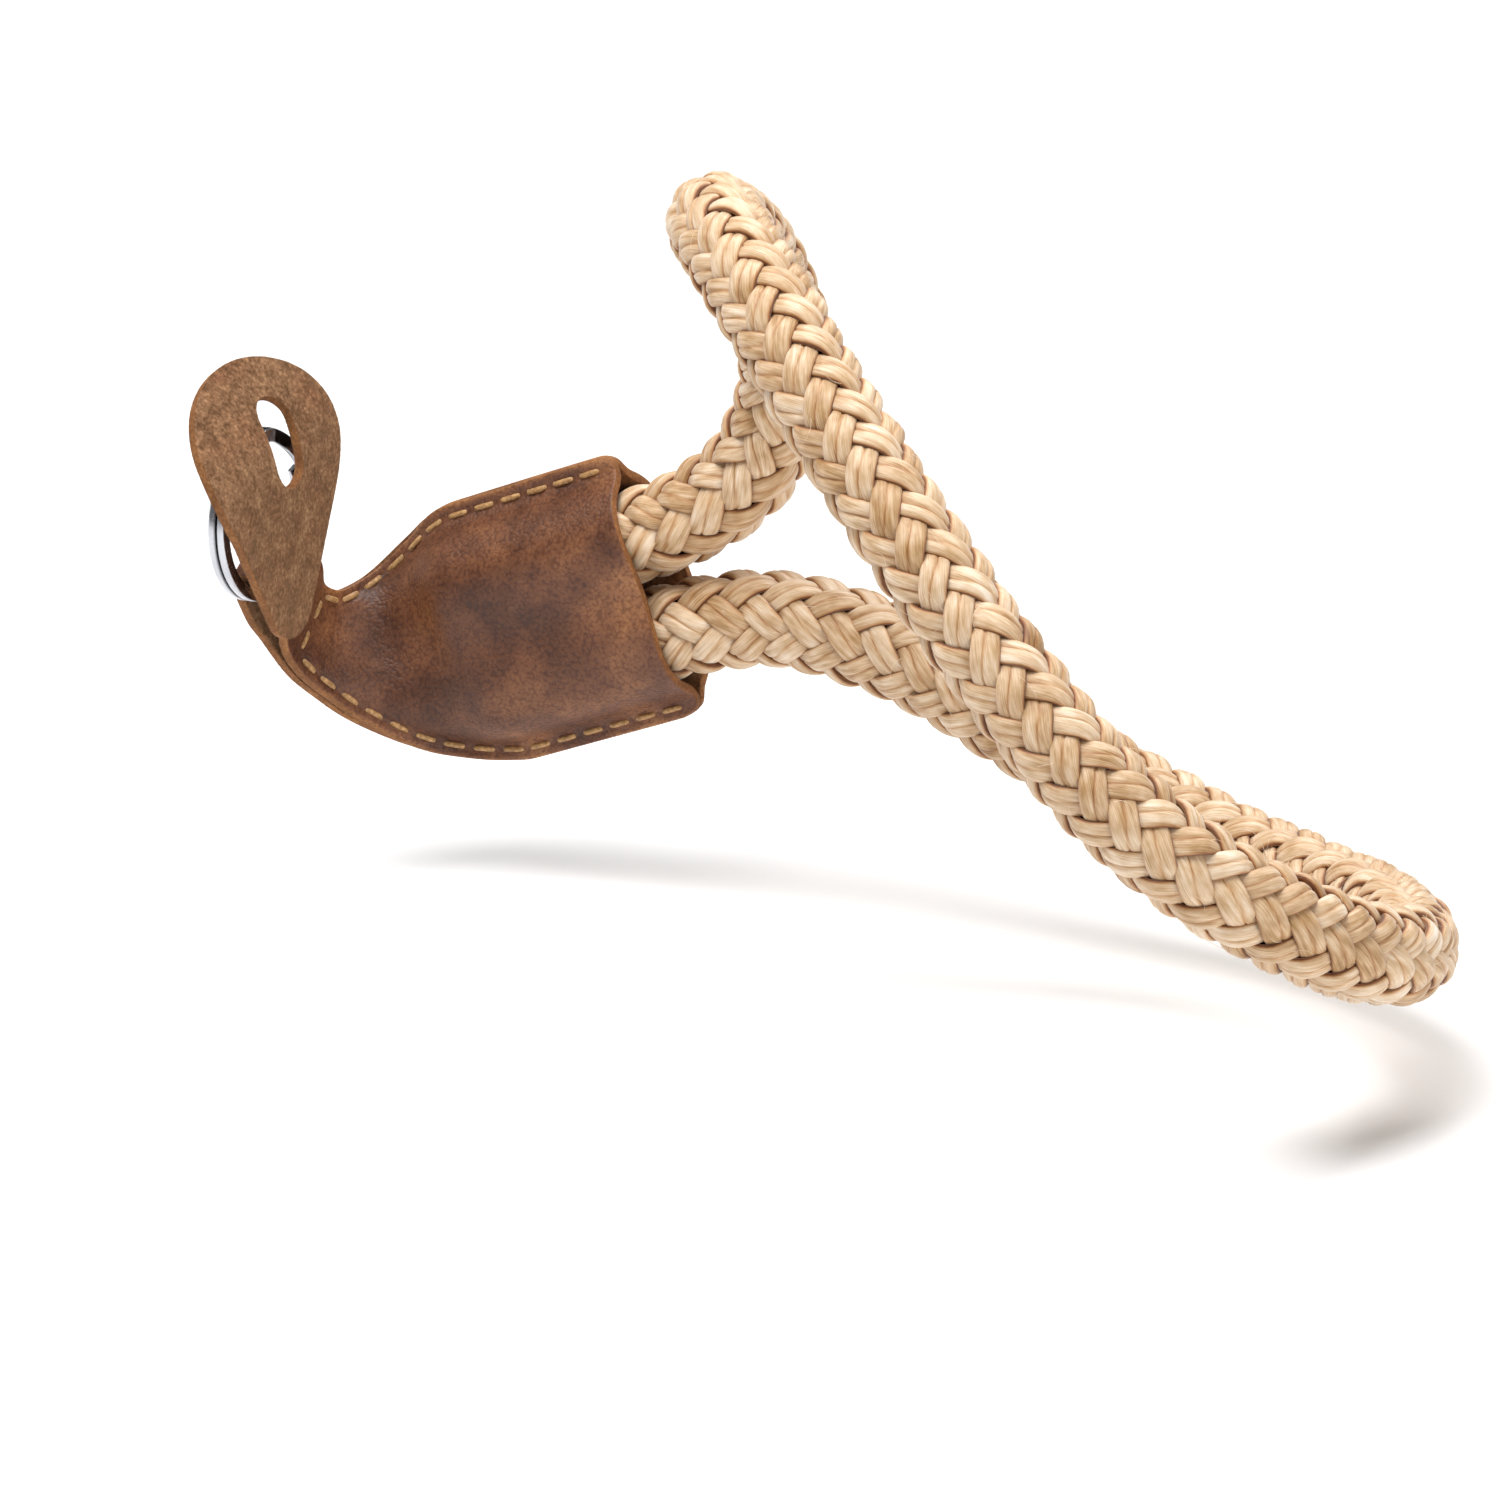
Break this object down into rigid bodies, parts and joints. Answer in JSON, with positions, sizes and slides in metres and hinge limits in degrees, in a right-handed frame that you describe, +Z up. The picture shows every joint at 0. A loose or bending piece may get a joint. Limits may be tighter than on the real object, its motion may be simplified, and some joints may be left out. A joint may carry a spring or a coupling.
{
  "type": "camera wrist strap",
  "caption": "Wrist strap for a camera: a thick braided rope loop held in a leather cuff that folds onto a steel split ring, with a teardrop leather pad between ring and camera.",
  "frame": {"origin": "inside top of the split ring, where it hangs on the camera's lug", "axes": "+Z up, +X along the camera's width from this lug, +Y towards the camera's back; the ring lies in the Y-Z plane"},
  "size_m": [0.1536, 0.075, 0.0837],
  "materials": {
    "ring_steel": "bright, lightly worn",
    "pad_suede": "napped suede side towards the camera, smooth side towards the ring, raw cut edge",
    "brown_leather": "smooth waxed grain side out, semi-matt, raw cut edge",
    "tan_rope": "silky filament yarn, braided two over two"
  },
  "bodies": {
    "root": {"split_ring": "ring_steel", "protector_pad": "pad_suede", "leather_end": "brown_leather", "rope_loop": "tan_rope"}
  },
  "joints": []
}
